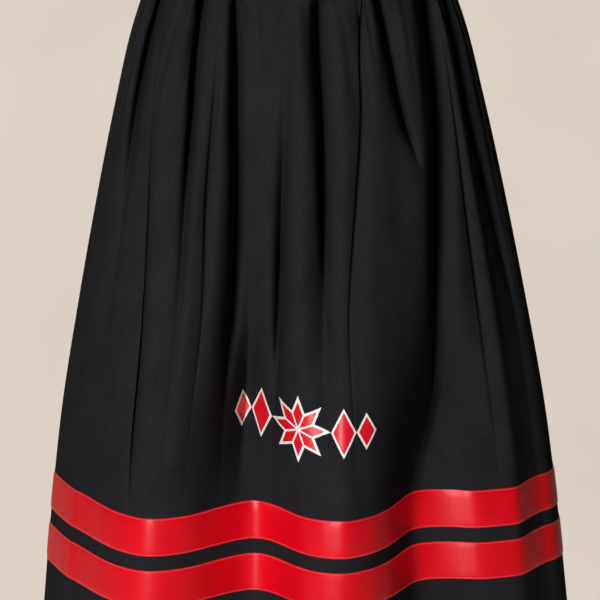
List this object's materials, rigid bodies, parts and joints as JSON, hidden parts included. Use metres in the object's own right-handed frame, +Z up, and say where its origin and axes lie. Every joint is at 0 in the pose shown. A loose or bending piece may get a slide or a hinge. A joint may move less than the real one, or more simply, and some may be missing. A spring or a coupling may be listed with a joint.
{
  "type": "ribbon skirt",
  "caption": "Gathered A-line ribbon skirt in its hollow worn form, with an elastic waistband, a front and a back panel, and satin ribbons sewn round above the hem.",
  "frame": {"origin": "centre of the waist opening, halfway up the waistband, where a wearer's waist holds the skirt", "axes": "+Z up along the body, the front of the skirt faces -Y, and +X is to the viewer's right seen from the front"},
  "size_m": [0.538, 0.3938, 0.695],
  "materials": {
    "black_cotton": "matte plain weave",
    "red_satin": "glossy satin ribbon"
  },
  "bodies": {
    "root": {"waistband": "black_cotton", "front_panel": "black_cotton", "back_panel": "black_cotton", "upper_ribbon_front": "red_satin", "upper_ribbon_back": "red_satin", "lower_ribbon_front": "red_satin", "lower_ribbon_back": "red_satin"}
  },
  "joints": []
}
